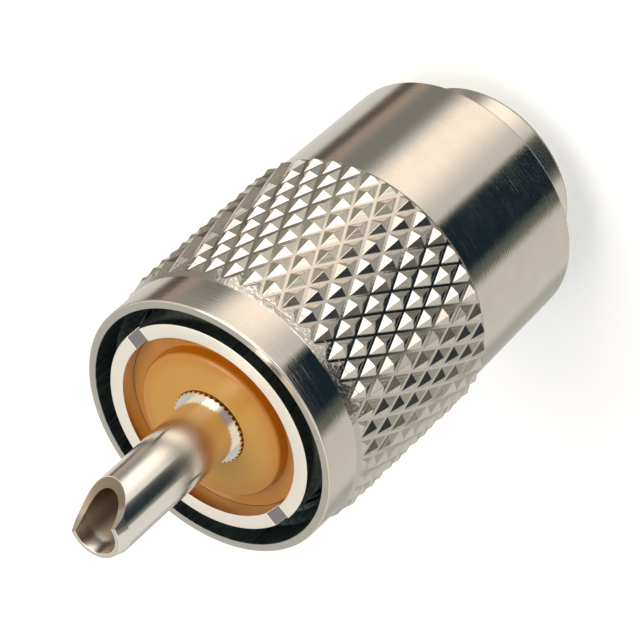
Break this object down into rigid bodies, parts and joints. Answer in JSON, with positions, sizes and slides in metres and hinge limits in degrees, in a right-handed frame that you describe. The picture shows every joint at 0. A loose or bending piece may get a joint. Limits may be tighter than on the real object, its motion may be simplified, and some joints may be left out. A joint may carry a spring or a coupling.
{
  "type": "uhf connector",
  "caption": "Solder-type UHF coaxial cable plug with a diamond-knurled coupling ring, a notched body, an orange insulator and a hollow centre pin.",
  "frame": {"origin": "on the axis, at the rear face of the plug body's tail, which the part stands on", "axes": "+Z along the axis from the tail to the centre pin's tip, X through the two notches of the collar face"},
  "size_m": [0.018, 0.018, 0.0399],
  "materials": {
    "ring_plating": "bright nickel plate on turned brass",
    "body_plating": "satin silver plate on turned brass",
    "insulator_plastic": "moulded amber thermoset",
    "pin_plating": "bright silver plate on turned brass"
  },
  "bodies": {
    "plug": {"plug_body": "body_plating", "insulator": "insulator_plastic", "centre_pin": "pin_plating"},
    "ring": {"coupling_ring": "ring_plating"}
  },
  "joints": [
    {"name": "ring_turn", "type": "hinge", "parent": "plug", "child": "ring", "pos_m": [0, 0, 0.016], "axis": [0, 0, 1], "continuous": true}
  ]
}
